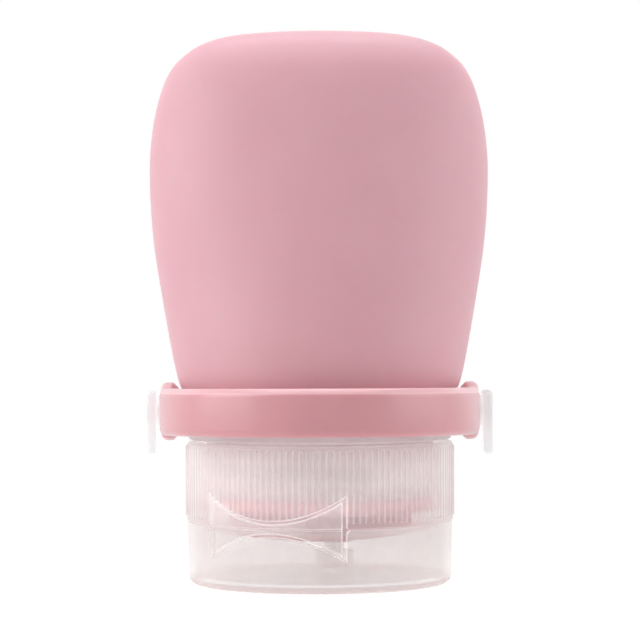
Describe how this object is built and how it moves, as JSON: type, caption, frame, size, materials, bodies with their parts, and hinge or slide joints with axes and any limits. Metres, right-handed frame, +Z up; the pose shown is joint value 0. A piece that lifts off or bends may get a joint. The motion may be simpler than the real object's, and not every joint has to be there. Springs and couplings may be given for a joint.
{
  "type": "travel squeeze bottle",
  "caption": "Soft oval silicone travel bottle standing upside down on a clear flip-top screw cap, with a stretchy carrying loop round its neck.",
  "frame": {"origin": "middle of the flip lid's flat face, on which the bottle stands", "axes": "+Z up from the lid to the closed end of the soft body, -Y towards the front where the strap's band passes, X across the two strap studs"},
  "size_m": [0.0564, 0.052, 0.0902],
  "materials": {
    "silicone_pink": "matte translucent silicone",
    "strap_pink": "matte translucent silicone",
    "gasket_pink": "matte silicone",
    "milky_plastic": "translucent polypropylene",
    "clear_plastic": "translucent polypropylene",
    "valve_silicone": "clear silicone"
  },
  "bodies": {
    "bottle": {"squeeze_bottle": "silicone_pink", "neck_collar": "milky_plastic", "neck_insert": "milky_plastic"},
    "strap": {"loop_strap": "strap_pink"},
    "seal": {"cap_gasket": "gasket_pink"},
    "cap": {"cap_base": "clear_plastic", "drip_valve": "valve_silicone", "valve_retainer": "clear_plastic", "hinge_butterfly": "clear_plastic"},
    "lid": {"flip_lid": "clear_plastic"}
  },
  "joints": [
    {"name": "strap_swing", "type": "hinge", "parent": "bottle", "child": "strap", "pos_m": [0, 0, 0.0281], "axis": [-1, 0, 0], "range_deg": [-16, 30]},
    {"name": "cap_advance", "type": "slide", "parent": "bottle", "child": "seal", "axis": [0, 0, -1], "range_m": [0, 0.00526]},
    {"name": "cap_turn", "type": "hinge", "parent": "seal", "child": "cap", "pos_m": [0, 0, 0.0167], "axis": [0, 0, -1], "range_deg": [0, 630]},
    {"name": "lid_flip", "type": "hinge", "parent": "cap", "child": "lid", "pos_m": [-0.00793, -0.02014, 0.0102], "axis": [-0.9304, 0.3665, 0], "range_deg": [0, 120], "deforming": ["hinge_butterfly"]}
  ],
  "couplings": [
    {"joint": "cap_advance", "follows": "cap_turn", "m_per_rad": 0.00047746}
  ]
}
